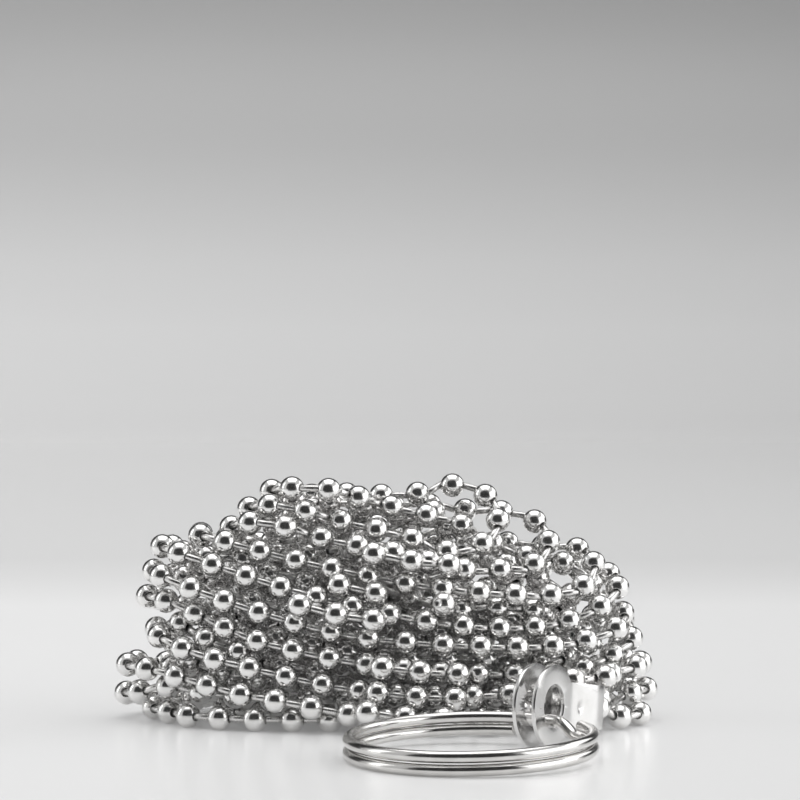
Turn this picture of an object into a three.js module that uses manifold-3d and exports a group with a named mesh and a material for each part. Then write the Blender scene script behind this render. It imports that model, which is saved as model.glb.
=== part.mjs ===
// A roller blind's ball chain, laid down in a long heap of turns.
// Its last ball sits in a folded sheet clip, and a two-turn split ring runs through the clip's eyes.
// Millimetres, +Z up, standing on z = 0. The heap is long in X and seen from -Y.
import * as THREE from "three";
import Module from "manifold-3d";
import { mergeVertices } from "three/addons/utils/BufferGeometryUtils.js";

const wasm = await Module();
wasm.setup();

// Chain
const BALL_D = 4;
const BALL_PITCH = 6;
const PIN_D = 1.1;
const BALL_AIR = 0.35; // least air between the balls of two strands
const PIN_AIR = 0.9; // least air between two crossing pins
const JOINT_AIR = 0.3; // from the last pin of a run to the first ball of the next
const LINK_SWING = 45; // most degrees that one ball lets the chain turn

// End clip, of one folded strip
const SHEET = 0.6;
const EYE_D = 12.8;
const EYE_HOLE_D = 6.8;
const EYE_SPACE = 2.75; // between the two eye plates
const BOX_AIR = 0.6; // between the box and the ball in it
const ARM_ROOT = 7.6; // height of the arms where they leave the eyes
const ARM_HEIGHT = 6.7; // and at the box's end
const ARM_START = 0.9; // where the arms begin to spread, as a share of the eye plates' radius
const ARM_STEP = 6.8; // length of the slope from the eye plates out to the box
const BOX_LENGTH = 3.4;
const FOLD_R = 2;
const DIMPLE_LENGTH = 2.3;
const DIMPLE_WIDTH = 1.4;
const DIMPLE_DEPTH = 0.25;
const DIMPLE_PLACE = 2.4; // from where the arms begin to spread
const PIN_SLOT_AIR = 0.5; // between the end wall's slot and the pin

// Split ring
const RING_D = 38.5;
const WIRE_D = 1.8;
const WIRE_AIR = 0.15; // between the two turns
const RING_LIFT = 1.4; // how far the clip's eyes hold it off the table
const WIRE_END_SPACE = 3; // from the eye plates to the wire's lower end
const CLIMB_START = 26; // degrees around the ring, where the wire leaves its lower turn
const UPPER_END = 23; // degrees around the ring, where the upper turn ends

// Where the ring and the clip lie
const CLIP_PLACE = 51.3; // degrees around the ring, where the clip hangs on it
const CLIP_TURN = 59.5; // degrees from +X, the way the clip points
const BOX_LIFT = 1.1; // how far the chain holds the box's end off the table
const RING_X = 12.4;
const RING_Y = -47;

// Faces
const BAND = 0.38; // height of a ball's two wide rings, as a share of its radius
const RING_STEPS = 42;
const WIRE_SIDES = 6;
const ARC_STEPS = 16;
const SLOT_SIDES = 8;
const FOLD_STEPS = 2;
const FRONT = { sides: 4, bands: [-BAND, BAND] };
const REAR = { sides: 3, bands: [-BAND, BAND] };
const CORE = { sides: 3, bands: [0] };

// The heap, turn by turn from the bottom. Each turn is a loop that reaches from left to right and
// from front to back, with its own height at each of those four places. The lean lifts its left
// front and right rear corners, and lowers the other two.
const TURNS = [
  // left, right, front, back, height at left, right, front and back, lean, kind
  [-29, 31, -10, 12, 2, 2, 2, 2, 0, "core"],
  [-41.5, 38.5, -16, 18.5, 2, 2, 2, 2, 0, "shown"],
  [-46.5, 44.5, -15, 18, 12, 7, 6.5, 6.5, 0, "shown"],
  [-31, 32, -10, 12, 13, 10, 10, 10, 1, "core"],
  [-44, 42, -18, 18, 18, 12, 5.5, 10.5, 2, "shown"],
  [-28, 28, -4.5, 6.5, 19, 13, 14, 14, 2.5, "core"],
  [-41, 42, -17, 17, 25, 15, 9, 14.5, 3, "shown"],
  [-32, 32, -8.5, 10, 26, 18, 18, 18, 3, "core"],
  [-41, 42, -15.5, 16, 30, 19, 13, 18.5, 3, "shown"],
  [-27, 27, -4, 5.5, 31, 23, 22, 22, 3, "core"],
  [-40.5, 41, -14.5, 14.5, 34, 23, 17.5, 22.5, 3, "shown"],
  [-24, 24, -4, 7, 34, 28, 27, 28, 3, "core"],
  [-39, 40, -13, 13.5, 37, 27, 22.5, 27.5, 3, "shown"],
  [-34, 37, -11, 12, 40.5, 31, 28, 33, 3, "shown"],
  [-17, 17, -1.5, 3, 37, 35, 35, 36, 1, "core"],
  [-29.5, 30, -7.5, 9, 40.5, 34, 33.5, 37, 2.5, "shown"],
  [-28, 22.5, -5, 6, 40.5, 35.5, 37, 39, 2, "shown"],
  [-28, 9, -3, 4, 40.5, 36.5, 39.5, 40, 0, "shown"],
];
// The last strand leaves the last turn at its left-hand end. It runs over the top, down the
// right-hand side and along the table to the clip.
const LEAD = [
  [-17, -3, 41.5], [-6, -1.5, 41.5], [6, 0, 39.8], [18.5, 1, 36], [30, 1, 30], [38.5, 1, 20.5],
  [41.3, 1, 9], [41.2, -3, 3.4], [38.4, -8, 2.8],
];
const WAVE = 0.6; // how far a turn's height wanders
const WAIST = 0.035; // how far a turn strays from an oval, as a share of its size
const ROUTE_STEPS = 240; // points on a turn's route
const LEAD_POINTS = 2000; // points on the last strand's route
const SETTLE_STEPS = 220;
const SINK_STEPS = 120; // of those, the steps in which the balls still sink
const SETTLE_SINK = 0.05; // how far a ball sinks in each step, before its neighbours stop it
const SETTLE_HOLD = 0.03; // how firmly a turn keeps its plan while it settles

const ballR = BALL_D / 2;
const pinR = PIN_D / 2;
const wireR = WIRE_D / 2;
const ringR = (RING_D - WIRE_D) / 2;
const eyeR = EYE_D / 2;
const boxInside = BALL_D + 2 * BOX_AIR;
const boxStart = eyeR * ARM_START;
const boxEnd = boxStart + ARM_STEP + BOX_LENGTH;
const radians = THREE.MathUtils.degToRad;
const { lerp, smoothstep } = THREE.MathUtils;

const metal = (color, roughness) => new THREE.MeshStandardMaterial({ color, roughness, metalness: 1 });
const nickel = () => metal(0xc9c8c4, 0.22);
const steel = () => metal(0xd3d2cf, 0.3);

// The clip stands on its round eyes and tips down towards the box's end.
function clipPlace() {
  const low = Math.hypot(boxEnd, ARM_HEIGHT / 2);
  const tip = Math.asin((eyeR - BOX_LIFT) / low) - Math.atan2(ARM_HEIGHT / 2, boxEnd);
  const place = new THREE.Matrix4().makeRotationZ(radians(CLIP_TURN));
  place.multiply(new THREE.Matrix4().makeRotationY(tip));
  const around = radians(CLIP_PLACE);
  return place.setPosition(RING_X + ringR * Math.cos(around), RING_Y + ringR * Math.sin(around), eyeR);
}

// Route of the chain

function wander(n) {
  const s = Math.sin(n * 12.9898) * 43758.5453;
  return s - Math.floor(s);
}

function turnPoint([left, right, front, back, zLeft, zRight, zFront, zBack, lean], angle, mood) {
  const c = Math.cos(angle);
  const s = Math.sin(angle);
  const phase = 2 * Math.PI * mood;
  const stray = 0.6 * Math.sin(2 * angle + phase) + Math.sin(3 * angle + 2 * phase)
    + 0.7 * Math.sin(5 * angle + 1.5 * phase);
  const bulge = 1 + WAIST * stray;
  const middle = (zLeft + zRight + zFront + zBack) / 4;
  const saddle = (zLeft + zRight - zFront - zBack) / 4;
  const slope = ((zRight - zLeft) * c + (zBack - zFront) * s) / 2;
  const wave = WAVE * (Math.sin(2 * angle + 3 * phase) + 0.6 * Math.sin(3 * angle + 5 * phase));
  const oval = middle + slope + saddle * Math.cos(2 * angle) + lean * Math.sin(2 * angle);
  return new THREE.Vector3(
    (left + right) / 2 + (right - left) / 2 * bulge * c,
    (front + back) / 2 + (back - front) / 2 * bulge * s,
    Math.max(oval + wave, ballR),
  );
}

// Each turn starts at its right-hand end. The chain moves on to it along the back.
function planRoute(end) {
  const steps = ROUTE_STEPS;
  const route = [];
  TURNS.forEach((turn, t) => {
    const before = TURNS[Math.max(t - 1, 0)];
    const stop = t === TURNS.length - 1 ? steps / 2 : steps;
    for (let s = 0; s < stop; s++) {
      const share = smoothstep(s / steps, 0, 0.5);
      const angle = 2 * Math.PI * s / steps;
      const from = turnPoint(before, angle, wander(Math.max(t, 1)));
      const point = from.lerp(turnPoint(turn, angle, wander(t + 1)), share);
      const run = { name: s < steps / 2 ? "back" : "front", turn: t + 1, kind: turn[9] };
      route.push({ point, run });
    }
  });
  const knots = [route.at(-1).point, ...LEAD.map((p) => new THREE.Vector3(...p)), ...end];
  const lead = new THREE.CatmullRomCurve3(knots).getSpacedPoints(LEAD_POINTS).slice(1);
  const run = { name: "lead", turn: TURNS.length, kind: "shown" };
  return route.concat(lead.map((point) => ({ point, run })));
}

// Balls one pitch apart, counted back from the ball in the clip.
function stringBalls(route) {
  const balls = [];
  for (const { point, run } of route.toReversed()) {
    if (!balls.length || balls.at(-1).point.distanceTo(point) >= BALL_PITCH) {
      balls.push({ point: point.clone(), run });
    }
  }
  return balls.reverse();
}

const NEIGHBOURS = [];
for (const x of [-1, 0, 1]) {
  for (const y of [-1, 0, 1]) {
    for (const z of [-1, 0, 1]) NEIGHBOURS.push(new THREE.Vector3(x, y, z));
  }
}

// Calls meet(i, j, shift) for each pair of points nearer than a distance, with the shift that parts them.
function partPairs(points, distance, meet) {
  const cells = new Map();
  const floor = points.map((point) => point.clone().divideScalar(distance).floor());
  floor.forEach((corner, i) => {
    const key = corner.toArray().join();
    cells.set(key, [...cells.get(key) ?? [], i]);
  });
  const shift = new THREE.Vector3();
  floor.forEach((corner, i) => {
    for (const step of NEIGHBOURS) {
      const near = cells.get(step.clone().add(corner).toArray().join()) ?? [];
      for (const j of near.filter((other) => other > i + 1)) {
        const length = shift.subVectors(points[j], points[i]).length();
        if (length > 0 && length < distance) {
          meet(i, j, shift.multiplyScalar((distance - length) / length / 2));
        }
      }
    }
  });
}

function stretch(a, b, wanted, onlyShort) {
  const link = new THREE.Vector3().subVectors(b, a);
  const length = link.length();
  if (onlyShort && length >= wanted) return;
  link.multiplyScalar((length - wanted) / length / 2);
  a.add(link);
  b.sub(link);
}

// The chain sinks under its own weight until ball lies on ball, with its links at full length.
function settle(balls, held) {
  const plan = balls.map((ball) => ball.clone());
  const bent = 2 * BALL_PITCH * Math.cos(radians(LINK_SWING / 2));
  const pinMiddles = balls.slice(1).map(() => new THREE.Vector3());
  for (let step = 0; step < SETTLE_STEPS; step++) {
    if (step < SINK_STEPS) {
      balls.forEach((ball, i) => {
        ball.z -= SETTLE_SINK;
        ball.x = lerp(ball.x, plan[i].x, SETTLE_HOLD);
        ball.y = lerp(ball.y, plan[i].y, SETTLE_HOLD);
      });
    }
    for (let pass = 0; pass < 3; pass++) {
      for (let i = 1; i < balls.length; i++) stretch(balls[i - 1], balls[i], BALL_PITCH, false);
      for (let i = 2; i < balls.length; i++) stretch(balls[i - 2], balls[i], bent, true);
      partPairs(balls, BALL_D + BALL_AIR, (i, j, shift) => {
        balls[i].sub(shift);
        balls[j].add(shift);
      });
      pinMiddles.forEach((middle, i) => middle.lerpVectors(balls[i], balls[i + 1], 0.5));
      partPairs(pinMiddles, PIN_D + PIN_AIR, (i, j, shift) => {
        for (const ball of [balls[i], balls[i + 1]]) ball.sub(shift);
        for (const ball of [balls[j], balls[j + 1]]) ball.add(shift);
      });
      for (const ball of balls) ball.z = Math.max(ball.z, ballR);
      for (let i = balls.length - held; i < balls.length; i++) balls[i].copy(plan[i]);
    }
  }
}

// One run of the chain as a solid

// Profile of a straight run up the Y axis, from the first ball's pole to the last pin's end.
function runProfile(count, { bands }, last) {
  const neck = Math.sqrt(ballR ** 2 - pinR ** 2);
  const profile = [new THREE.Vector2(0, -ballR)];
  for (let ball = 0; ball < count; ball++) {
    const y = ball * BALL_PITCH;
    if (ball > 0) profile.push(new THREE.Vector2(pinR, y - neck));
    for (const band of bands) {
      profile.push(new THREE.Vector2(ballR * Math.sqrt(1 - band ** 2), y + band * ballR));
    }
    if (ball < count - 1 || !last) profile.push(new THREE.Vector2(pinR, y + neck));
  }
  const top = (count - 1) * BALL_PITCH;
  const pinEnd = top + BALL_PITCH - ballR - JOINT_AIR;
  if (last) profile.push(new THREE.Vector2(0, top + ballR));
  else profile.push(new THREE.Vector2(pinR, pinEnd), new THREE.Vector2(0, pinEnd));
  return profile;
}

// A frame at each ball, carried along the run without twisting.
function ballFrames(balls, first, count) {
  const frames = [];
  let side = new THREE.Vector3(0, 0, 1);
  for (let i = first; i < first + count; i++) {
    const before = balls[Math.max(i - 1, 0)];
    const after = balls[Math.min(i + 1, balls.length - 1)];
    const along = new THREE.Vector3().subVectors(after, before).normalize();
    side = side.clone().addScaledVector(along, -side.dot(along)).normalize();
    frames.push({ along, side, cross: new THREE.Vector3().crossVectors(side, along) });
  }
  return frames;
}

// Each ring of the straight run is turned half a side from the last, then set at its own ball.
function runGeometry(balls, first, count, faces, last) {
  const profile = runProfile(count, faces, last);
  const geometry = new THREE.LatheGeometry(profile, faces.sides);
  const frames = ballFrames(balls, first, count);
  const position = geometry.attributes.position;
  const point = new THREE.Vector3();
  for (let v = 0; v < position.count; v++) {
    point.fromBufferAttribute(position, v);
    const ball = Math.min(Math.round(point.y / BALL_PITCH), count - 1);
    const { along, side, cross } = frames[ball];
    const turn = (v % profile.length) * Math.PI / faces.sides;
    const x = point.x * Math.cos(turn) + point.z * Math.sin(turn);
    const z = point.z * Math.cos(turn) - point.x * Math.sin(turn);
    const y = point.y - ball * BALL_PITCH;
    point.copy(balls[first + ball]).addScaledVector(side, x);
    point.addScaledVector(along, y).addScaledVector(cross, z);
    position.setXYZ(v, point.x, point.y, point.z);
  }
  return geometry;
}

function chain(place) {
  const ballPlace = boxEnd - SHEET - BOX_AIR - ballR;
  const end = [ballPlace + BALL_PITCH, ballPlace].map((x) => new THREE.Vector3(x, 0, 0).applyMatrix4(place));
  const strung = stringBalls(planRoute(end));
  const balls = strung.map(({ point }) => point);
  balls.at(-1).copy(end[1]);
  balls.at(-2).copy(end[0]);
  settle(balls, 2);
  const group = new THREE.Group();
  for (let first = 0; first < balls.length;) {
    const { name, turn, kind } = strung[first].run;
    let count = 1;
    while (strung[first + count]?.run.name === name && strung[first + count].run.turn === turn) count++;
    const faces = kind === "core" ? CORE : name === "back" ? REAR : FRONT;
    const last = first + count === balls.length;
    const mesh = new THREE.Mesh(runGeometry(balls, first, count, faces, last), nickel());
    mesh.name = name === "lead" ? "chain_lead" : `chain_${name}_${String(turn).padStart(2, "0")}`;
    group.add(mesh);
    first += count;
  }
  return group;
}

// End clip

function solid(geometry) {
  geometry.deleteAttribute("normal");
  geometry.deleteAttribute("uv");
  const merged = mergeVertices(geometry, 1e-4);
  return new wasm.Manifold(new wasm.Mesh({
    numProp: 3,
    vertProperties: merged.attributes.position.array,
    triVerts: new Uint32Array(merged.index.array),
  }));
}

function geometryOf(shape) {
  const { vertProperties, triVerts } = shape.getMesh();
  const geometry = new THREE.BufferGeometry();
  geometry.setAttribute("position", new THREE.BufferAttribute(vertProperties, 3));
  geometry.setIndex(new THREE.BufferAttribute(triVerts, 1));
  return geometry;
}

// The strip seen from above: two plates, spread to the box and folded round its end wall.
function stripPlan() {
  const eye = EYE_SPACE / 2;
  const box = boxInside / 2;
  const step = boxStart + ARM_STEP;
  const half = (out) => [
    [-eyeR - 1, eye + out], [boxStart, eye + out], [step, box + out],
  ];
  const outerR = FOLD_R;
  const innerR = FOLD_R - SHEET;
  const plan = new THREE.Shape();
  const outside = half(SHEET);
  plan.moveTo(outside[0][0], -outside[0][1]);
  plan.lineTo(outside[1][0], -outside[1][1]);
  plan.lineTo(outside[2][0], -outside[2][1]);
  plan.absarc(boxEnd - outerR, -(box + SHEET - outerR), outerR, -Math.PI / 2, 0, false);
  plan.absarc(boxEnd - outerR, box + SHEET - outerR, outerR, 0, Math.PI / 2, false);
  for (const [x, y] of outside.toReversed()) plan.lineTo(x, y);
  const inside = half(0);
  for (const [x, y] of inside) plan.lineTo(x, y);
  plan.absarc(boxEnd - outerR, box - innerR, innerR, Math.PI / 2, 0, true);
  plan.absarc(boxEnd - outerR, -(box - innerR), innerR, 0, -Math.PI / 2, true);
  for (const [x, y] of inside.toReversed()) plan.lineTo(x, -y);
  return plan;
}

// The strip's outline seen from the side: a round eye with its arm.
function stripSide() {
  const arm = ARM_HEIGHT / 2;
  const meet = Math.asin(ARM_ROOT / 2 / eyeR);
  const side = new THREE.Shape();
  side.absarc(0, 0, eyeR, meet, 2 * Math.PI - meet, false);
  side.lineTo(boxEnd + 1, -arm);
  side.lineTo(boxEnd + 1, arm);
  return side;
}

// A dimple in the spreading arm, square to its face.
function dimple(sideways) {
  const r = DIMPLE_WIDTH / 2;
  const geometry = new THREE.CylinderGeometry(r, r, 2 * DIMPLE_DEPTH, SLOT_SIDES);
  geometry.scale(1, 1, DIMPLE_LENGTH / DIMPLE_WIDTH);
  const spread = (boxInside - EYE_SPACE) / 2;
  const outside = EYE_SPACE / 2 + SHEET + spread * DIMPLE_PLACE / ARM_STEP;
  geometry.rotateZ(sideways * Math.atan2(spread, ARM_STEP));
  geometry.translate(boxStart + DIMPLE_PLACE, sideways * outside, 0);
  return solid(geometry);
}

function extrude(shape, depth, curveSegments) {
  return new THREE.ExtrudeGeometry(shape, { depth, bevelEnabled: false, curveSegments });
}

function clipGeometry() {
  const strip = extrude(stripPlan(), EYE_D + 2, FOLD_STEPS);
  strip.translate(0, 0, -eyeR - 1);
  const side = extrude(stripSide(), EYE_D, ARC_STEPS);
  side.rotateX(Math.PI / 2);
  side.translate(0, eyeR, 0);
  const hole = new THREE.CylinderGeometry(EYE_HOLE_D / 2, EYE_HOLE_D / 2, EYE_D, ARC_STEPS);
  const slotSize = PIN_D + 2 * PIN_SLOT_AIR;
  const slot = new THREE.CylinderGeometry(slotSize / 2, slotSize / 2, 4 * SHEET, SLOT_SIDES);
  slot.rotateZ(Math.PI / 2);
  slot.translate(boxEnd, 0, 0);
  let clip = solid(strip).intersect(solid(side));
  for (const cut of [solid(hole), solid(slot), dimple(1), dimple(-1)]) clip = clip.subtract(cut);
  return geometryOf(clip);
}

// Split ring

class RingWire extends THREE.Curve {
  getPoint(t, target = new THREE.Vector3()) {
    const plateSpan = (EYE_SPACE / 2 + SHEET + WIRE_END_SPACE) / ringR;
    const start = radians(CLIP_PLACE) + plateSpan;
    const end = radians(UPPER_END) + 4 * Math.PI;
    const angle = lerp(start, end, t);
    const climbed = radians(CLIP_PLACE) - (EYE_SPACE / 2 + SHEET + wireR) / ringR;
    const level = smoothstep(angle - 2 * Math.PI, radians(CLIMB_START), climbed);
    const lift = RING_LIFT * (1 + Math.cos(angle - radians(CLIP_PLACE))) / 2;
    const z = wireR + level * (WIRE_D + WIRE_AIR) + lift;
    return target.set(RING_X + ringR * Math.cos(angle), RING_Y + ringR * Math.sin(angle), z);
  }
}

function ringGeometry() {
  const section = new THREE.EllipseCurve(0, 0, wireR, wireR).getPoints(WIRE_SIDES);
  const round = new THREE.Shape(section.slice(0, WIRE_SIDES));
  const options = { steps: RING_STEPS, extrudePath: new RingWire(), bevelEnabled: false };
  return new THREE.ExtrudeGeometry(round, options);
}

// Sets the middle of the footprint at the origin, on the table.
function centre(part) {
  const box = new THREE.Box3().setFromObject(part, true);
  const middle = box.getCenter(new THREE.Vector3());
  part.position.set(-middle.x, -middle.y, -box.min.z);
}

function build() {
  const place = clipPlace();
  const part = new THREE.Group();
  part.add(chain(place));
  const clip = new THREE.Mesh(clipGeometry(), steel());
  clip.name = "end_clip";
  clip.applyMatrix4(place);
  const ring = new THREE.Mesh(ringGeometry(), nickel());
  ring.name = "split_ring";
  part.add(clip, ring);
  centre(part);
  return part;
}

export default build();
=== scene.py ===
"""Ball chain for a roller blind: bright hollow balls on pins, a folded end clip and a split ring.
Lengths of the object are in millimetres until its meshes are made. Those of the stage, lights and camera
are in metres."""
import math
import random
import bmesh
import bpy
import numpy as np
from mathutils import Matrix, Vector


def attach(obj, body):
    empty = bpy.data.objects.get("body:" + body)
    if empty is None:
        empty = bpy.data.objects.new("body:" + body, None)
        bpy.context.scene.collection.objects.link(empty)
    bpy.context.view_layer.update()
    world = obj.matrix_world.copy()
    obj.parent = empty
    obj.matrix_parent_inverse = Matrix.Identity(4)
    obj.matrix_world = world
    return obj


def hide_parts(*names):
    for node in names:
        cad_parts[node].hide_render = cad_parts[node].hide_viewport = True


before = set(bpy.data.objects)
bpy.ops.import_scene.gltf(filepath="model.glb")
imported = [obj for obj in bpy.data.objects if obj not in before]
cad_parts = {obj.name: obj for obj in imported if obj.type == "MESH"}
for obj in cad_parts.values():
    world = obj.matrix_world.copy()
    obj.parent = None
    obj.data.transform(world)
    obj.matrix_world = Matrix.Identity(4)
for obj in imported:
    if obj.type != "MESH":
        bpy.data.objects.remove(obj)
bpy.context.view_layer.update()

MM = 0.001
scene = bpy.context.scene

# Chain. Its balls and pins have the CAD's sizes
BALL_R = 2.0
BALL_PITCH = 6.0
PIN_R = 0.55
PIN_INSIDE = 0.45
LIP_R = 0.88
MOST_TURNS = 29
WIDE_RING_R = 0.8
BALL_SEGMENTS = 22
INNER_SEGMENTS = 14
PIN_SEGMENTS = 12

# Clip. Its sheet has the CAD's sizes
SHEET = 0.6
EYE_R = 6.4
EYE_HOLE_R = 3.4
EYE_SPACE = 2.75
BOX_INSIDE = 5.2
ARM_ROOT = 7.6
ARM_HEIGHT = 6.7
ARM_START = 0.9 * EYE_R
ARM_STEP = 6.8
BOX_LENGTH = 3.4
BOX_END = ARM_START + ARM_STEP + BOX_LENGTH
FOLD_R = 2.0
DIMPLE_LENGTH = 2.3
DIMPLE_WIDTH = 1.4
DIMPLE_DEPTH = 0.25
DIMPLE_PLACE = 2.4
DIMPLE_FACE_LENGTH = 0.2
DIMPLE_FACE_HEIGHT = 0.25
SLOT_R = 1.05
EDGE_R = 0.12
CLIP_TURN = 59.5
BOX_LIFT = 1.1

# Ring. Its wire has the CAD's sizes, and places round it are in degrees
RING_R = 18.35
WIRE_R = 0.9
WIRE_AIR = 0.15
RING_LIFT = 1.4
WIRE_END_SPACE = 3.0
WIRE_END_ROUND = 0.12
CLIMB_START = 26
UPPER_END = 23
CLIP_PLACE = 51.3
RING_STEPS = 560
WIRE_SIDES = 24

# How far the CAD was moved to stand on the middle of its footprint
SHIFT = (0.41601, 22.99940)
RING_CENTRE = (12.4 + SHIFT[0], -47 + SHIFT[1])

# Strands laid between the outer turns
SHOWN_TURNS = (2, 3, 5, 7, 9, 11, 13, 14, 16, 17, 18)
GAP_DEPTH = 0.3
DEPTH_WAVE, DEPTH_WAVE_REACH = 0.8, 9
HEIGHT_WAVE, HEIGHT_WAVE_REACH = 0.6, 6
PATH_STEPS = 400
FIRST_STEPS = 30
SHORTEST, LONGEST = 4, 12
STRAND_BREAK = 2.5
SETTLE_STEPS = 70
SETTLE_PULL = 0.03
SETTLE_AIR = 0.06
SETTLE_PIN_AIR = 0.08
SETTLE_LINK_AIR = 0.1
OVERLAP_KEPT = 0.02
LINK_SLACK = 0.3

# Strands grown inside the heap
SEEDS = 60000
SEED_PARTS = 30
GROWN_LONGEST = 16
GROWN_WAYS = 60
WAY_SPREAD = (1.6, 0.9, 0.35)
BEND_COSINE = 0.74
GROWN_AIR = 0.02
GROWN_PIN_AIR = 0.05

# Stage: painted shade on the paper, which darkens it by the way behind the object and up the wall, and by
# the way across to the sides
TABLE_HALF = 2.4
WALL_Y = 1.25
WALL_BEND = 0.25
WALL_HEIGHT = 2.0
# Painted glow: the paper gives off a little light of its own to camera and reflection rays
PAPER_GLOW = 0.13
PAPER_GLOSS = 0.3
PAPER_ROUGHNESS = 0.24
PAPER_REACH = 1.8
# Painted shade: the paper's colour darkens away behind the object and up the wall, where the light falls off
PAPER_PAINTED_FALLOFF = [
    (0.0, 0.94), (0.22, 0.93), (0.30, 0.80), (0.35, 0.75), (0.60, 0.77), (0.9, 0.82), (1.1, 0.88),
    (1.2, 0.85), (1.27, 0.77), (1.37, 0.60), (1.47, 0.48), (1.62, 0.30), (1.8, 0.12)]
PAPER_HALF = 1.0
# Painted shade: the paper's colour darkens towards the left and right, a little more on the right
PAPER_PAINTED_SIDE_SHADE = [
    (-1.0, 0.16), (-0.6, 0.3), (-0.28, 1.0), (-0.22, 1.0),
    (0.22, 0.82), (0.28, 0.78), (0.6, 0.24), (1.0, 0.14)]

# Lights: azimuth, elevation, width and height in degrees as seen from the heap, and radiance
ROOM_TONE = 0.58
PANEL_AWAY = 0.9
PANELS = {
    "lamp_top": (90, 80, 52, 52, 1.45),
    "lamp_right": (-12, 19, 58, 36, 1.55),
    "lamp_right_back": (34, 29, 30, 26, 1.5),
    "lamp_left": (175, 22, 16, 38, 1.4),
}
# Painted dark reflections: cards that camera, light and shadows pass through, so that only reflections show
# them
DARK_REFLECTION_TONE = 0.06
DARK_REFLECTION_CARDS = {
    "dark_reflection_front": [(-0.44, -0.30, 0.0), (0.28, -0.30, 0.0), (0.23, -0.24, 0.42), (-0.38, -0.24, 0.42)],
    "dark_reflection_floor": [
        (-0.26, -0.30, 0.0008), (0.26, -0.30, 0.0008), (0.1, -0.085, 0.0008), (-0.1, -0.085, 0.0008)],
}

# Camera, in pixels of the photograph where the name says so
PHOTO_PX = 800
FOCAL_PX = 3355
BELOW_MIDDLE_PX = 210
LEFT_OF_MIDDLE_PX = 12
SENSOR = 36
CAMERA_AWAY = 0.55
CAMERA_ELEVATION = 5.5
TARGET_HEIGHT = 18


# Meshes

def piece(name, verts, faces, material, slot, nodes, stage=False):
    """An object on the root body, or one of the stage, from points in metres."""
    mesh = bpy.data.meshes.new(name)
    mesh.from_pydata(np.asarray(verts).tolist(), [], faces)
    mesh.shade_smooth()
    obj = bpy.data.objects.new(name, mesh)
    scene.collection.objects.link(obj)
    mesh.materials.append(material)
    if stage:
        return obj
    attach(obj, "root")
    if nodes:
        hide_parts(*nodes)
    return obj


def revolve(profile, segments):
    """Closed surface of revolution round Y, from a profile that starts and ends on the axis."""
    verts = [(0, profile[0][1], 0)]
    for r, y in profile[1:-1]:
        for s in range(segments):
            a = 2 * math.pi * s / segments
            verts.append((r * math.cos(a), y, r * math.sin(a)))
    verts.append((0, profile[-1][1], 0))
    rings = len(profile) - 2
    faces = []
    for s in range(segments):
        t = (s + 1) % segments
        faces.append((0, 1 + s, 1 + t))
        for k in range(rings - 1):
            a, b = 1 + k * segments, 1 + (k + 1) * segments
            faces.append((a + s, b + s, b + t, a + t))
        last = 1 + (rings - 1) * segments
        faces.append((len(verts) - 1, last + t, last + s))
    return np.array(verts), faces


def place_copies(template, places):
    """One mesh of a template set at each (origin, x, y, z) frame."""
    base, faces = template
    verts, out = [], []
    for n, (origin, axes) in enumerate(places):
        verts.append(base @ axes + origin)
        shift = n * len(base)
        out += [tuple(i + shift for i in f) for f in faces]
    return np.concatenate(verts), out


# The chain, found again in the CAD runs

def rings_of(node):
    """The rings of vertices of one run, from its first ball's pole."""
    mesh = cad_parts[node].data
    keys = {}
    index = []
    points = []
    for v in mesh.vertices:
        k = tuple(round(c * 1e6) for c in v.co)
        if k not in keys:
            keys[k] = len(points)
            points.append(np.array(v.co) / MM)
        index.append(keys[k])
    near = [set() for _ in points]
    for e in mesh.edges:
        a, b = (index[i] for i in e.vertices)
        if a != b:
            near[a].add(b)
            near[b].add(a)

    def layers(start):
        seen, front, out = {start}, [start], []
        while front:
            out.append(front)
            front = sorted({n for i in front for n in near[i]} - seen)
            seen |= set(front)
        return out

    far = layers(layers(0)[-1][0])
    ends = (far[0][0], far[-1][0])
    reach = [min(np.linalg.norm(points[e] - points[n]) for n in near[e]) for e in ends]
    start = ends[0] if reach[0] > reach[1] else ends[1]
    return [np.array([points[i] for i in layer]) for layer in layers(start)]


def ball_centre(points):
    """Centre of the ball that fits some points best."""
    a = np.c_[2 * points, np.ones(len(points))]
    b = (points ** 2).sum(1)
    return np.linalg.lstsq(a, b, rcond=None)[0][:3]


def centres_of(node):
    """Centres of a run's balls. A ball has one or two wide rings between its necks or poles."""
    rings = rings_of(node)
    wide = [len(r) > 2 and np.linalg.norm(r - r.mean(0), axis=1).mean() > WIDE_RING_R for r in rings]
    out, k = [], 0
    while k < len(rings):
        if wide[k]:
            end = k
            while wide[end + 1]:
                end += 1
            out.append(ball_centre(np.concatenate(rings[k - 1:end + 2])))
            k = end
        k += 1
    return out


def chain_order():
    """The runs in the order in which the chain passes them."""
    names = []
    for n in range(1, MOST_TURNS + 1):
        for half in ("back", "front"):
            name = f"chain_{half}_{n:02d}"
            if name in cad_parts:
                names.append(name)
    return names + ["chain_lead"]


def chain_balls():
    """The centres of all balls along the chain, and the run that each belongs to."""
    balls, run = [], []
    for name in chain_order():
        found = centres_of(name)
        if balls and np.linalg.norm(found[0] - balls[-1]) > np.linalg.norm(found[-1] - balls[-1]):
            found = found[::-1]
        balls += found
        run += [name] * len(found)
    return np.array(balls), run


# Materials

def new_material(name):
    mat = bpy.data.materials.new(name)
    mat.use_nodes = True
    return mat, mat.node_tree.nodes, mat.node_tree.links, mat.node_tree.nodes["Principled BSDF"]


def noise(nodes, links, scale, detail, rough=0.5):
    coord = nodes.new("ShaderNodeTexCoord")
    tex = nodes.new("ShaderNodeTexNoise")
    tex.inputs["Scale"].default_value = scale
    tex.inputs["Detail"].default_value = detail
    tex.inputs["Roughness"].default_value = rough
    links.new(coord.outputs["Object"], tex.inputs["Vector"])
    return tex.outputs["Fac"]


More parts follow.
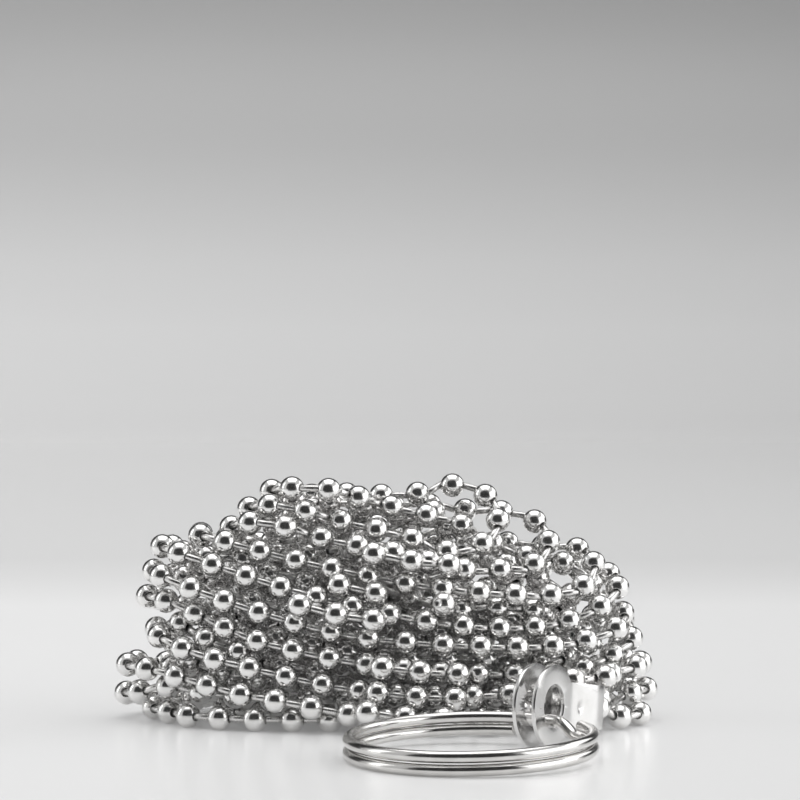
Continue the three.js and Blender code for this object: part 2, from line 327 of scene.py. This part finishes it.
def ramp(nodes, links, source, stops):
    node = nodes.new("ShaderNodeValToRGB")
    node.color_ramp.elements[0].position = stops[0][0]
    node.color_ramp.elements[1].position = stops[-1][0]
    for position, _ in stops[1:-1]:
        node.color_ramp.elements.new(position)
    for element, (_, value) in zip(node.color_ramp.elements, stops):
        rgb = value if isinstance(value, tuple) else (value, value, value)
        element.color = (*rgb, 1)
    links.new(source, node.inputs["Fac"])
    return node.outputs["Color"]


def metal(name, dark, bright, polish, cloud, scratch, bump):
    """Bright plated metal: clouded colour and polish, with fine scratches in the surface."""
    mat, nodes, links, shader = new_material(name)
    shader.inputs["Metallic"].default_value = 1.0
    broad = noise(nodes, links, cloud, 3)
    links.new(ramp(nodes, links, broad, [(0.3, dark), (0.7, bright)]), shader.inputs["Base Color"])
    fine = noise(nodes, links, cloud * 3, 4, 0.6)
    links.new(ramp(nodes, links, fine, [(0.35, polish[0]), (0.7, polish[1])]), shader.inputs["Roughness"])
    grain = nodes.new("ShaderNodeBump")
    grain.inputs["Strength"].default_value = bump
    grain.inputs["Distance"].default_value = 0.00005
    links.new(noise(nodes, links, scratch, 6, 0.7), grain.inputs["Height"])
    links.new(grain.outputs["Normal"], shader.inputs["Normal"])
    return mat


BALL_METAL = metal(
    "bright_nickel", (0.79, 0.785, 0.775), (0.89, 0.885, 0.875),
    polish=(0.15, 0.23), cloud=420, scratch=1500, bump=0.10)
INNER_METAL = metal(
    "inner_nickel", (0.76, 0.75, 0.74), (0.90, 0.89, 0.88),
    polish=(0.16, 0.26), cloud=420, scratch=1500, bump=0.10)
PIN_METAL = metal(
    "pin_nickel", (0.66, 0.655, 0.64), (0.82, 0.81, 0.80),
    polish=(0.24, 0.36), cloud=600, scratch=2400, bump=0.2)
CLIP_METAL = metal(
    "clip_plate", (0.68, 0.675, 0.665), (0.77, 0.765, 0.76),
    polish=(0.16, 0.28), cloud=180, scratch=1200, bump=0.16)
RING_METAL = metal(
    "ring_nickel", (0.64, 0.63, 0.615), (0.77, 0.76, 0.745),
    polish=(0.12, 0.22), cloud=260, scratch=1600, bump=0.14)


# Chain pieces

def ball_template(segments):
    """A hollow ball with a rolled-in hole at each pole, where the pins go in."""
    lip = [(0, 1.40), (0.66, 1.40), (0.72, 1.48), (0.72, 1.74), (0.75, 1.80), (0.81, 1.825)]
    start = math.asin(LIP_R / BALL_R)
    steps = segments // 2
    round_part = []
    for k in range(steps + 1):
        a = start + (math.pi - 2 * start) * k / steps
        round_part.append((BALL_R * math.sin(a), -BALL_R * math.cos(a)))
    return revolve([(r, -y) for r, y in lip] + round_part + lip[::-1], segments)


def pin_template():
    """A straight pin of unit length with slightly rounded ends."""
    end_r = PIN_R * 0.8
    return revolve([(0, 0), (end_r, 0), (PIN_R, 0.03), (PIN_R, 0.97), (end_r, 1), (0, 1)], PIN_SEGMENTS)


def axes_along(direction, roll=0.0):
    """Rows are the template's X, Y and Z axes, with Y along the direction."""
    y = direction / np.linalg.norm(direction)
    z = np.cross([0, 0, 1.0] if abs(y[2]) < 0.9 else [1.0, 0, 0], y)
    z /= np.linalg.norm(z)
    x = np.cross(y, z)
    c, s = math.cos(roll), math.sin(roll)
    return np.array([c * x + s * z, y, c * z - s * x])


def ball_axes(balls):
    last = len(balls) - 1
    axis = np.array([balls[min(i + 1, last)] - balls[max(i - 1, 0)] for i in range(last + 1)])
    return axis / np.linalg.norm(axis, axis=1)[:, None]


def strand(tag, balls, axis, mine, nodes, rng, material=None):
    """The balls of one run, and the pin after each of them that has a next ball."""
    places = [(balls[i] * MM, axes_along(axis[i], rng.uniform(0, 6)) * MM) for i in mine]
    template = ball_template(BALL_SEGMENTS if material is None else INNER_SEGMENTS)
    piece("balls_" + tag, *place_copies(template, places), material or BALL_METAL, "chain_nickel", nodes)
    pins = []
    for i in mine:
        if i + 1 < len(balls):
            a = balls[i] + axis[i] * BALL_R
            b = balls[i + 1] - axis[i + 1] * BALL_R
            way = (b - a) / np.linalg.norm(b - a)
            a, b = a - way * PIN_INSIDE, b + way * PIN_INSIDE
            axes = axes_along(b - a)
            axes[1] *= np.linalg.norm(b - a)
            pins.append((a * MM, axes * MM))
    piece("pins_" + tag, *place_copies(pin_template(), pins), material or PIN_METAL, "chain_nickel", [])


def make_chain(balls, run):
    axis = ball_axes(balls)
    rng = random.Random(7)
    for name in chain_order():
        mine = [i for i in range(len(balls)) if run[i] == name]
        strand(name.removeprefix("chain_"), balls, axis, mine, [name], rng)


# Strands that fill the hollows between the turns

def from_pins(points, starts, ends):
    """The way to each point from the nearest point on each pin's axis."""
    way = ends - starts
    reach = points[:, None] - starts[None]
    t = np.clip((reach * way[None]).sum(2) / (way * way).sum(1)[None], 0, 1)
    return points[:, None] - (starts[None] + t[..., None] * way[None])


class Room:
    """The balls and pins laid so far, and the room that they leave."""

    def __init__(self, balls):
        self.balls, self.starts, self.ends = balls, balls[:-1], balls[1:]

    def add(self, balls):
        self.balls = np.concatenate([self.balls, balls])
        self.starts = np.concatenate([self.starts, balls[:-1]])
        self.ends = np.concatenate([self.ends, balls[1:]])

    def to_balls(self, points):
        """Distance from each point to the middle of the nearest ball."""
        return np.linalg.norm(points[:, None] - self.balls[None], axis=2).min(1)

    def to_pins(self, points):
        """Distance from each point to the nearest pin's axis."""
        return np.linalg.norm(from_pins(points, self.starts, self.ends), axis=2).min(1)

    def clear_balls(self, points):
        """Whether a ball fits at each point."""
        apart = self.to_balls(points) > 2 * BALL_R + GROWN_AIR
        return apart & (self.to_pins(points) > BALL_R + PIN_R + GROWN_PIN_AIR)

    def clear_pin(self, a, b):
        """Whether a pin fits between two balls."""
        steps = a + (b - a) * np.linspace(0.1, 0.9, 7)[:, None]
        apart = self.to_pins(steps).min() > 2 * PIN_R + GROWN_PIN_AIR
        return apart and self.to_balls(steps).min() > BALL_R + PIN_R + GROWN_PIN_AIR


def inside_heap(points, balls):
    """Points with balls round them at their own height, and over them."""
    band, margin, cover, rise, ways = 4.5, 1.0, 6, 1, 16
    level = abs(balls[None, :, 2] - points[:, None, 2]) < band
    ok = np.ones(len(points), bool)
    for k in range(ways):
        angle = k * math.pi / (ways / 2)
        ahead = (balls[None, :, :2] - points[:, None, :2]) @ np.array([math.cos(angle), math.sin(angle)])
        ok &= (np.where(level, ahead, -99).max(1) > margin)
    flat = np.linalg.norm(balls[None, :, :2] - points[:, None, :2], axis=2)
    ok &= ((flat < cover) & (balls[None, :, 2] > points[:, None, 2] + rise)).any(1)
    return ok & (points[:, 2] > BALL_R)


def in_order(balls, run, half):
    """The outer runs of one half, from the bottom, each sorted from left to right."""
    out = []
    for turn in SHOWN_TURNS:
        mine = balls[[name == f"chain_{half}_{turn:02d}" for name in run]]
        if len(mine) > 3:
            out.append(mine[np.argsort(mine[:, 0])])
    return out


def lay_between(lower, upper, inward, rng):
    """Strands half-way between two runs and a little deeper, that wave a little and have breaks."""
    left = max(lower[0][0], upper[0][0]) + 1
    right = min(lower[-1][0], upper[-1][0]) - 1
    x = np.linspace(left, right, PATH_STEPS)
    both = [[np.interp(x, side[:, 0], side[:, k]) for side in (lower, upper)] for k in (1, 2)]
    middle = [(a + b) / 2 for a, b in both]
    phase = rng.uniform(0, 6, 2)
    y = middle[0] + inward * (GAP_DEPTH + DEPTH_WAVE * np.sin(x / DEPTH_WAVE_REACH + phase[0]))
    z = middle[1] + HEIGHT_WAVE * np.sin(x / HEIGHT_WAVE_REACH + phase[1])
    path = np.array([x, y, z]).T
    out, strung = [], [path[int(rng.integers(0, FIRST_STEPS))]]
    wanted = rng.integers(SHORTEST, LONGEST)
    for point in path:
        if point[0] < strung[-1][0] or np.linalg.norm(point - strung[-1]) < BALL_PITCH:
            continue
        if len(strung) == wanted:
            out.append(np.array(strung))
            strung = [point + [STRAND_BREAK, 0, 0]]
            # One draw is passed over, which keeps the strands that follow as they are
            rng.random()
            wanted = rng.integers(SHORTEST, LONGEST)
        else:
            strung.append(point)
    out.append(np.array(strung))
    return [laid for laid in out if len(laid) > 1]


def push(way, far, least):
    """The move that brings each point as far as least from the others, from the ways to it."""
    short = np.clip(least - far, 0, None)
    return (way * (short / np.maximum(far, 0.01))[..., None]).sum(1)


def push_off_balls(points, others, least, own=None):
    way = points[:, None] - others[None]
    far = np.linalg.norm(way, axis=2)
    if own is not None:
        far = np.where(own, 99, far)
    return push(way, far, least)


def push_off_pins(points, starts, ends, least):
    way = from_pins(points, starts, ends)
    return push(way, np.linalg.norm(way, axis=2), least)


def hold_links(points, links):
    """Brings the links back to their full length, every second one first and then the others."""
    for odd in (0, 1):
        some = links[links % 2 == odd]
        way = points[some + 1] - points[some]
        far = np.linalg.norm(way, axis=1)[:, None]
        step = way * (far - BALL_PITCH) / far / 2
        points[some] += step
        points[some + 1] -= step


def settle(laid, balls):
    """Moves the strands clear of the turns and of each other, with their links at full length."""
    plan = np.concatenate(laid)
    points = plan.copy()
    first = np.cumsum([0] + [len(s) for s in laid])
    links = np.array([i for a, b in zip(first, first[1:]) for i in range(a, b - 1)])
    own = np.eye(len(points), dtype=bool)
    own[links, links + 1] = own[links + 1, links] = True
    ball_gap, pin_gap = 2 * BALL_R + SETTLE_AIR, BALL_R + PIN_R + SETTLE_PIN_AIR
    starts, ends = balls[:-1], balls[1:]
    for _ in range(SETTLE_STEPS):
        points += (plan - points) * SETTLE_PULL
        for _ in range(2):
            hold_links(points, links)
            points += push_off_balls(points, balls, ball_gap)
            points += push_off_balls(points, points, ball_gap, own) / 2
            points += push_off_pins(points, starts, ends, pin_gap)
            middle = (points[links] + points[links + 1]) / 2
            shift = push_off_balls(middle, balls, pin_gap)
            shift += push_off_pins(middle, starts, ends, 2 * PIN_R + SETTLE_LINK_AIR)
            points[links] += shift
            points[links + 1] += shift
            points[:, 2] = np.maximum(points[:, 2], BALL_R)
    return keep_clear(points, first, balls)


def linked(a, b, room):
    """Whether two settled balls are one pitch apart, with room for their pin."""
    link = b - a
    steps = a + link * np.linspace(0.15, 0.85, 5)[:, None]
    good = abs(np.linalg.norm(link) - BALL_PITCH) < LINK_SLACK
    return good and room.to_balls(steps).min() > BALL_R + PIN_R and room.to_pins(steps).min() > 2 * PIN_R


def keep(stretch, out, room):
    """Keeps a stretch of two balls or more."""
    if len(stretch) > 1:
        out.append(np.array(stretch))
        room.add(out[-1])


def keep_clear(points, first, balls):
    """The stretches of the settled strands that are clear of the chain and of each other."""
    out, room = [], Room(balls)
    for a, b in zip(first, first[1:]):
        stretch = []
        for point in points[a:b]:
            good = room.to_balls(point[None])[0] > 2 * BALL_R - OVERLAP_KEPT
            good = good and room.to_pins(point[None])[0] > BALL_R + PIN_R
            if stretch and not (good and linked(stretch[-1], point, room)):
                keep(stretch, out, room)
                stretch = []
            if good:
                stretch.append(point)
        keep(stretch, out, room)
    return out


def gap_strands(balls, run):
    rng = np.random.default_rng(3)
    laid = []
    for half, inward in (("front", 1), ("back", -1)):
        outer = in_order(balls, run, half)
        for lower, upper in zip(outer, outer[1:]):
            laid += lay_between(lower, upper, inward, rng)
    return settle(laid, balls)


def grow(seed, balls, room, rng):
    """A strand from one ball on, as long as there is room and it bends no more than the chain can."""
    grown = [seed]
    while len(grown) < GROWN_LONGEST:
        ways = rng.normal(size=(GROWN_WAYS, 3)) * WAY_SPREAD
        ways /= np.linalg.norm(ways, axis=1)[:, None]
        if len(grown) > 1:
            before = (grown[-1] - grown[-2]) / BALL_PITCH
            ways = ways[ways @ before > BEND_COSINE]
        if len(ways) == 0:
            break
        spots = grown[-1] + ways * BALL_PITCH
        spots = spots[room.clear_balls(spots) & inside_heap(spots, balls)]
        own = np.array(grown[:-1]).reshape(-1, 3)
        found = None
        for spot in spots:
            if len(own) and np.linalg.norm(own - spot, axis=1).min() < 2 * BALL_R + GROWN_AIR:
                continue
            if room.clear_pin(grown[-1], spot):
                found = spot
                break
        if found is None:
            break
        grown.append(found)
    return np.array(grown)


def inner_strands(balls, laid):
    """Short strands that grow from ball to ball through the room that the turns leave."""
    rng = np.random.default_rng(11)
    room = Room(balls)
    for strung in laid:
        room.add(strung)
    low, high = balls.min(0), balls.max(0)
    seeds = low + (high - low) * rng.random((SEEDS, 3))
    # In parts, as the distances of all seeds at once would take a lot of memory
    parts = np.array_split(seeds, SEED_PARTS)
    seeds = np.concatenate([part[room.to_balls(part) > 2 * BALL_R + GROWN_AIR] for part in parts])
    out = []
    for seed in seeds[inside_heap(seeds, balls)]:
        if room.clear_balls(seed[None])[0]:
            grown = grow(seed, balls, room, rng)
            if len(grown) > 2:
                out.append(grown)
                room.add(grown)
    return out


def make_inner(balls, run):
    rng = random.Random(5)
    laid = gap_strands(balls, run)
    for n, strung in enumerate(laid):
        strand(f"gap_{n + 1:02d}", strung, ball_axes(strung), range(len(strung)), [], rng)
    for n, grown in enumerate(inner_strands(balls, laid)):
        strand(f"inner_{n + 1:02d}", grown, ball_axes(grown), range(len(grown)), [], rng, INNER_METAL)


# Split ring

def on_ring(angle):
    """The middle of the wire at a place round the ring, seen from above."""
    return RING_CENTRE[0] + RING_R * math.cos(angle), RING_CENTRE[1] + RING_R * math.sin(angle)


def ring_point(angle):
    place = math.radians(CLIP_PLACE)
    climbed = place - (EYE_SPACE / 2 + SHEET + WIRE_R) / RING_R
    start = math.radians(CLIMB_START)
    share = min(max((angle - 2 * math.pi - start) / (climbed - start), 0), 1)
    level = share * share * (3 - 2 * share)
    lift = RING_LIFT * (1 + math.cos(angle - place)) / 2
    z = WIRE_R + level * (2 * WIRE_R + WIRE_AIR) + lift
    return np.array([*on_ring(angle), z])


def make_ring():
    start = math.radians(CLIP_PLACE) + (EYE_SPACE / 2 + SHEET + WIRE_END_SPACE) / RING_R
    end = math.radians(UPPER_END) + 4 * math.pi
    steps, sides = RING_STEPS, WIRE_SIDES
    angles = [start + (end - start) * k / steps for k in range(steps + 1)]
    points = [ring_point(a) for a in angles]
    verts, faces = [], []

    def add_ring(centre, along, radius):
        side = np.cross(along, [0, 0, 1.0])
        side /= np.linalg.norm(side)
        up = np.cross(side, along)
        for s in range(sides):
            a = 2 * math.pi * s / sides
            verts.append((centre + radius * (math.cos(a) * side + math.sin(a) * up)) * MM)

    directions = [points[min(k + 1, steps)] - points[max(k - 1, 0)] for k in range(steps + 1)]
    directions = [d / np.linalg.norm(d) for d in directions]
    add_ring(points[0], directions[0], WIRE_R - WIRE_END_ROUND)
    for k, (point, along) in enumerate(zip(points, directions)):
        inset = WIRE_END_ROUND if k == 0 else -WIRE_END_ROUND if k == steps else 0
        add_ring(point + along * inset, along, WIRE_R)
    add_ring(points[-1], directions[-1], WIRE_R - WIRE_END_ROUND)
    count = len(verts) // sides
    for k in range(count - 1):
        for s in range(sides):
            t = (s + 1) % sides
            faces.append((k * sides + s, k * sides + t, (k + 1) * sides + t, (k + 1) * sides + s))
    faces.append(tuple(reversed(range(sides))))
    faces.append(tuple(range((count - 1) * sides, count * sides)))
    obj = piece("ring_wire", verts, faces, RING_METAL, "ring_nickel", ["split_ring"])
    obj.data.polygons[-1].use_smooth = False
    obj.data.polygons[-2].use_smooth = False


# End clip: a flat blank cut to its outline, then bent round the box

def bend_path():
    """The strip's inner face seen from above, from one eye plate round the end wall to the other."""
    eye, box, r = EYE_SPACE / 2, BOX_INSIDE / 2, FOLD_R - SHEET
    half = [(-EYE_R, eye), (ARM_START, eye), (ARM_START + ARM_STEP, box), (BOX_END - FOLD_R, box)]
    path = [(x, -y) for x, y in half]
    for k in range(1, 7):
        a = -math.pi / 2 + math.pi / 2 * k / 6
        path.append((BOX_END - FOLD_R + r * math.cos(a), -(box - r) + r * math.sin(a)))
    path += [(x, -y) for x, y in path[3:][::-1]]
    path += [(x, y) for x, y in half[::-1][1:]]
    clean = [path[0]]
    for p in path[1:]:
        if math.dist(p, clean[-1]) > 1e-6:
            clean.append(p)
    return clean


def soften(path, rounds):
    """Cuts the corners of an open path, so that a bend is a small curve."""
    for _ in range(rounds):
        out = [path[0]]
        for a, b in zip(path, path[1:]):
            length = math.dist(a, b)
            cut = min(0.25 * length, 0.35) / length
            out.append((a[0] + (b[0] - a[0]) * cut, a[1] + (b[1] - a[1]) * cut))
            out.append((b[0] + (a[0] - b[0]) * cut, b[1] + (a[1] - b[1]) * cut))
        out.append(path[-1])
        path = out
    return path


def blank_outline(length):
    """Outline and holes of the flat blank. Its length runs along X and its height along Y."""
    meet = math.asin(ARM_ROOT / 2 / EYE_R)
    steps = 56
    left = []
    for k in range(steps + 1):
        a = meet + (2 * math.pi - 2 * meet) * k / steps
        left.append((EYE_R + EYE_R * math.cos(a), EYE_R * math.sin(a)))
    left.append((length / 2 - BOX_INSIDE / 2, -ARM_HEIGHT / 2))
    right = [(length - x, -y) for x, y in left]

    def circle(x, r, n):
        angles = [2 * math.pi * k / n for k in range(n)]
        return [(x + r * math.cos(a), r * math.sin(a)) for a in angles]

    holes = [circle(EYE_R, EYE_HOLE_R, 48), circle(length - EYE_R, EYE_HOLE_R, 48)]
    holes.append(circle(length / 2, SLOT_R, 24))
    return left + right, holes


def dimple_places(length):
    """Places of the two dimples along the blank, on the sloping arms."""
    slope = math.hypot(ARM_STEP, (BOX_INSIDE - EYE_SPACE) / 2) / ARM_STEP
    at = EYE_R + ARM_START + DIMPLE_PLACE * slope
    return at, length - at


def cut_blank(stations):
    """The flat blank, cut across at each bend and into small faces at the dimples."""
    length = stations[-1]
    outline, holes = blank_outline(length)
    bm = bmesh.new()
    for loop in [outline, *holes]:
        corners = [bm.verts.new((x, y, 0)) for x, y in loop]
        for a, b in zip(corners, corners[1:] + corners[:1]):
            bm.edges.new((a, b))
    bmesh.ops.triangle_fill(bm, use_beauty=True, use_dissolve=False, edges=bm.edges[:])

    def cut(x, y, nx, ny):
        everything = bm.verts[:] + bm.edges[:] + bm.faces[:]
        bmesh.ops.bisect_plane(bm, geom=everything, plane_co=(x, y, 0), plane_no=(nx, ny, 0), dist=1e-5)

    for x in stations[1:-1]:
        cut(x, 0, 1, 0)
    for x in dimple_places(length):
        for k in range(-5, 6):
            cut(x + k * DIMPLE_FACE_LENGTH, 0, 1, 0)
    for k in range(-8, 9):
        cut(0, k * DIMPLE_FACE_HEIGHT, 0, 1)
    return bm


def pressed(x, y, places):
    """How deep the blank is pressed in at a point, by a smooth hollow a little larger than each dimple."""
    half_width, half_length, deepest = DIMPLE_WIDTH * 0.62, DIMPLE_LENGTH * 0.55, DIMPLE_DEPTH * 1.4
    press = 0.0
    for place in places:
        away = math.hypot((x - place) / half_width, y / half_length)
        if away < 1:
            press = max(press, deepest * (0.5 + 0.5 * math.cos(math.pi * away)))
    return press


def bend_blank(bm, path, stations):
    """Moves each point of the blank onto the bent path, and presses the dimples in."""
    places = dimple_places(stations[-1])
    last = len(path) - 2
    for v in bm.verts:
        x, y = v.co.x, v.co.y
        k = min(max(int(np.searchsorted(stations, x, side="right")) - 1, 0), last)
        share = (x - stations[k]) / math.dist(path[k], path[k + 1])
        a, b = Vector(path[k]), Vector(path[k + 1])
        before, after = Vector(path[max(k - 1, 0)]), Vector(path[min(k + 2, last + 1)])
        along = (b - a).normalized()
        first = (b - before).normalized() if k > 0 else along
        second = (after - a).normalized() if k < last else along
        along = first.lerp(second, share).normalized()
        out = Vector((along.y, -along.x))
        spot = a.lerp(b, share) - out * pressed(x, y, places)
        v.co = (spot.x, spot.y, y)


def clip_place():
    """The clip's place, with its eyes on the ring and its box end held off the table."""
    low = math.hypot(BOX_END, ARM_HEIGHT / 2)
    tip = math.asin((EYE_R - BOX_LIFT) / low) - math.atan2(ARM_HEIGHT / 2, BOX_END)
    centre = Vector((*on_ring(math.radians(CLIP_PLACE)), EYE_R))
    turn = math.radians(CLIP_TURN)
    place = Matrix.Translation(centre) @ Matrix.Rotation(turn, 4, "Z") @ Matrix.Rotation(tip, 4, "Y")
    return Matrix.Scale(MM, 4) @ place


def give_thickness(obj):
    """Gives the sheet its thickness and rounds its edges."""
    thick = obj.modifiers.new("sheet", "SOLIDIFY")
    thick.thickness = SHEET * MM
    thick.offset = 1
    edge = obj.modifiers.new("edges", "BEVEL")
    edge.width = EDGE_R * MM
    edge.segments = 2
    edge.limit_method = "ANGLE"
    edge.angle_limit = math.radians(50)
    graph = bpy.context.evaluated_depsgraph_get()
    obj.data = bpy.data.meshes.new_from_object(obj.evaluated_get(graph))
    obj.modifiers.clear()
    obj.data.shade_smooth()
    obj.data.set_sharp_from_angle(angle=math.radians(40))


def make_clip():
    path = soften(bend_path(), 2)
    stations = [0.0]
    for a, b in zip(path, path[1:]):
        stations.append(stations[-1] + math.dist(a, b))
    bm = cut_blank(stations)
    bend_blank(bm, path, stations)
    bmesh.ops.recalc_face_normals(bm, faces=bm.faces[:])
    outward = sum(f.normal.x for f in bm.faces if f.calc_center_median().x > BOX_END - 1)
    if outward < 0:
        bmesh.ops.reverse_faces(bm, faces=bm.faces[:])
    mesh = bpy.data.meshes.new("clip_strip")
    bm.to_mesh(mesh)
    bm.free()
    mesh.transform(clip_place())
    mesh.materials.append(CLIP_METAL)
    obj = bpy.data.objects.new("clip_strip", mesh)
    scene.collection.objects.link(obj)
    give_thickness(obj)
    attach(obj, "root")
    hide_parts("end_clip")


# Stage

def calculate(nodes, links, operation, *values):
    """A maths node on node outputs and numbers."""
    node = nodes.new("ShaderNodeMath")
    node.operation = operation
    for socket, value in zip(node.inputs, values):
        if isinstance(value, float):
            socket.default_value = value
        else:
            links.new(value, socket)
    return node.outputs["Value"]


def spread_tones(nodes, links, source, low, high, tones):
    """Tones at the source's own values between low and high."""
    share = nodes.new("ShaderNodeMapRange")
    share.inputs["From Min"].default_value = low
    share.inputs["From Max"].default_value = high
    links.new(source, share.inputs["Value"])
    stops = [((at - low) / (high - low), tone) for at, tone in tones]
    return ramp(nodes, links, share.outputs["Result"], stops)


def make_paper():
    """White paper, a little glossy, with painted shade that darkens it away behind the object, up the wall
    and to the sides, and a painted glow that camera and reflection rays see.
    """
    mat, nodes, links, shader = new_material("paper")
    coord = nodes.new("ShaderNodeTexCoord")
    apart = nodes.new("ShaderNodeSeparateXYZ")
    links.new(coord.outputs["Object"], apart.inputs["Vector"])
    away = calculate(nodes, links, "ADD", apart.outputs["Y"], apart.outputs["Z"])
    mix = nodes.new("ShaderNodeMix")
    mix.data_type = "RGBA"
    mix.blend_type = "MULTIPLY"
    mix.inputs["Factor"].default_value = 1.0
    # Painted shade, darker away behind the object and up the wall
    links.new(spread_tones(nodes, links, away, 0.0, PAPER_REACH, PAPER_PAINTED_FALLOFF), mix.inputs["A"])
    # Painted shade, darker to the left and right
    painted_side_shade = spread_tones(nodes, links, apart.outputs["X"], -PAPER_HALF, PAPER_HALF, PAPER_PAINTED_SIDE_SHADE)
    links.new(painted_side_shade, mix.inputs["B"])
    seen = nodes.new("ShaderNodeLightPath")
    either = calculate(nodes, links, "MAXIMUM", seen.outputs["Is Camera Ray"], seen.outputs["Is Glossy Ray"])
    # Painted glow: emission in the paper's painted tones, for camera and reflection rays only
    links.new(calculate(nodes, links, "MULTIPLY", either, PAPER_GLOW), shader.inputs["Emission Strength"])
    links.new(mix.outputs["Result"], shader.inputs["Base Color"])
    links.new(mix.outputs["Result"], shader.inputs["Emission Color"])
    shader.inputs["Specular IOR Level"].default_value = PAPER_GLOSS
    shader.inputs["Roughness"].default_value = PAPER_ROUGHNESS
    return mat


def make_stage():
    bend_start = WALL_Y - WALL_BEND
    table = [(-TABLE_HALF, 0), (bend_start, 0)]
    bend = [(math.sin(a), 1 - math.cos(a)) for a in np.linspace(0, math.pi / 2, 25)]
    wall = [(bend_start + WALL_BEND * y, WALL_BEND * z) for y, z in bend] + [(WALL_Y, WALL_HEIGHT)]
    paper = make_paper()
    for name, profile in (("table", table), ("wall", wall)):
        verts = [(x, y, z) for y, z in profile for x in (-TABLE_HALF, TABLE_HALF)]
        faces = [(2 * k, 2 * k + 1, 2 * k + 3, 2 * k + 2) for k in range(len(profile) - 1)]
        piece("stage_" + name, verts, faces, paper, None, None, stage=True)


# Light and camera

def panel(name, azimuth, elevation, wide, high, radiance):
    """A soft light that faces the heap from a direction, with its spans in degrees."""
    azimuth, elevation = math.radians(azimuth), math.radians(elevation)
    flat = math.cos(elevation)
    way = Vector((flat * math.cos(azimuth), flat * math.sin(azimuth), math.sin(elevation)))
    data = bpy.data.lights.new(name, "AREA")
    data.shape = "RECTANGLE"
    data.size = 2 * PANEL_AWAY * math.tan(math.radians(wide / 2))
    data.size_y = 2 * PANEL_AWAY * math.tan(math.radians(high / 2))
    data.energy = radiance * math.pi * data.size * data.size_y
    obj = bpy.data.objects.new(name, data)
    obj.location = way * PANEL_AWAY
    obj.rotation_euler = way.to_track_quat("Z", "Y").to_euler()
    obj.visible_camera = False
    scene.collection.objects.link(obj)


def dark_reflection_card(name, corners):
    """A dark card that only reflections show, as a painted dark reflection of the front opening of a light
    tent.
    """
    mat, _, _, shader = new_material(name)
    shader.inputs["Base Color"].default_value = (DARK_REFLECTION_TONE, DARK_REFLECTION_TONE, DARK_REFLECTION_TONE, 1)
    shader.inputs["Roughness"].default_value = 1.0
    shader.inputs["Specular IOR Level"].default_value = 0.0
    obj = piece(name, corners, [(0, 1, 2, 3)], mat, None, None, stage=True)
    # Seen in reflections only: a painted dark reflection
    obj.visible_camera = False
    obj.visible_diffuse = False
    obj.visible_shadow = False


def make_light():
    world = bpy.data.worlds.new("room")
    scene.world = world
    world.use_nodes = True
    room = world.node_tree.nodes["Background"]
    room.inputs["Color"].default_value = (ROOM_TONE, ROOM_TONE, ROOM_TONE, 1)
    room.inputs["Strength"].default_value = 1.0
    for name, values in PANELS.items():
        panel(name, *values)
    for name, corners in DARK_REFLECTION_CARDS.items():
        dark_reflection_card(name, corners)


def make_camera():
    data = bpy.data.cameras.new("camera")
    data.sensor_width = SENSOR
    data.lens = SENSOR * FOCAL_PX / PHOTO_PX
    data.clip_start = 0.01
    obj = bpy.data.objects.new("camera", data)
    scene.collection.objects.link(obj)
    target = Vector((SHIFT[0], SHIFT[1], TARGET_HEIGHT)) * MM
    elevation = math.radians(CAMERA_ELEVATION)
    obj.location = target + Vector((0, -math.cos(elevation), math.sin(elevation))) * CAMERA_AWAY
    pitch = elevation - math.atan(BELOW_MIDDLE_PX / FOCAL_PX)
    yaw = -math.atan(LEFT_OF_MIDDLE_PX / FOCAL_PX)
    obj.rotation_euler = (math.pi / 2 - pitch, 0, yaw)
    scene.camera = obj


heap, heap_runs = chain_balls()
make_chain(heap, heap_runs)
make_inner(heap, heap_runs)
make_ring()
make_clip()
make_stage()
make_light()
make_camera()
scene.view_settings.view_transform = "Standard"
